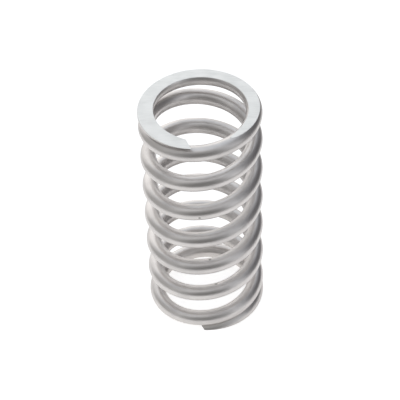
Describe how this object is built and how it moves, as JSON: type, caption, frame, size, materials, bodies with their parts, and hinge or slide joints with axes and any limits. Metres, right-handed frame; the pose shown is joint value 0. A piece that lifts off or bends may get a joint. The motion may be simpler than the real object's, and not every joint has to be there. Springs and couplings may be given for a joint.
{
  "type": "unloader spring",
  "caption": "Right-hand compression spring of round wire with closed and ground ends, for an unloader valve.",
  "frame": {"origin": "centre of the coil on the bottom ground face", "axes": "+Z along the coil axis from the bottom ground face to the top one; -Y faces the viewer of the picture"},
  "size_m": [0.0254, 0.0254, 0.054],
  "materials": {
    "spring_wire": "satin"
  },
  "bodies": {
    "root": {"coil_spring": "spring_wire"}
  },
  "joints": []
}
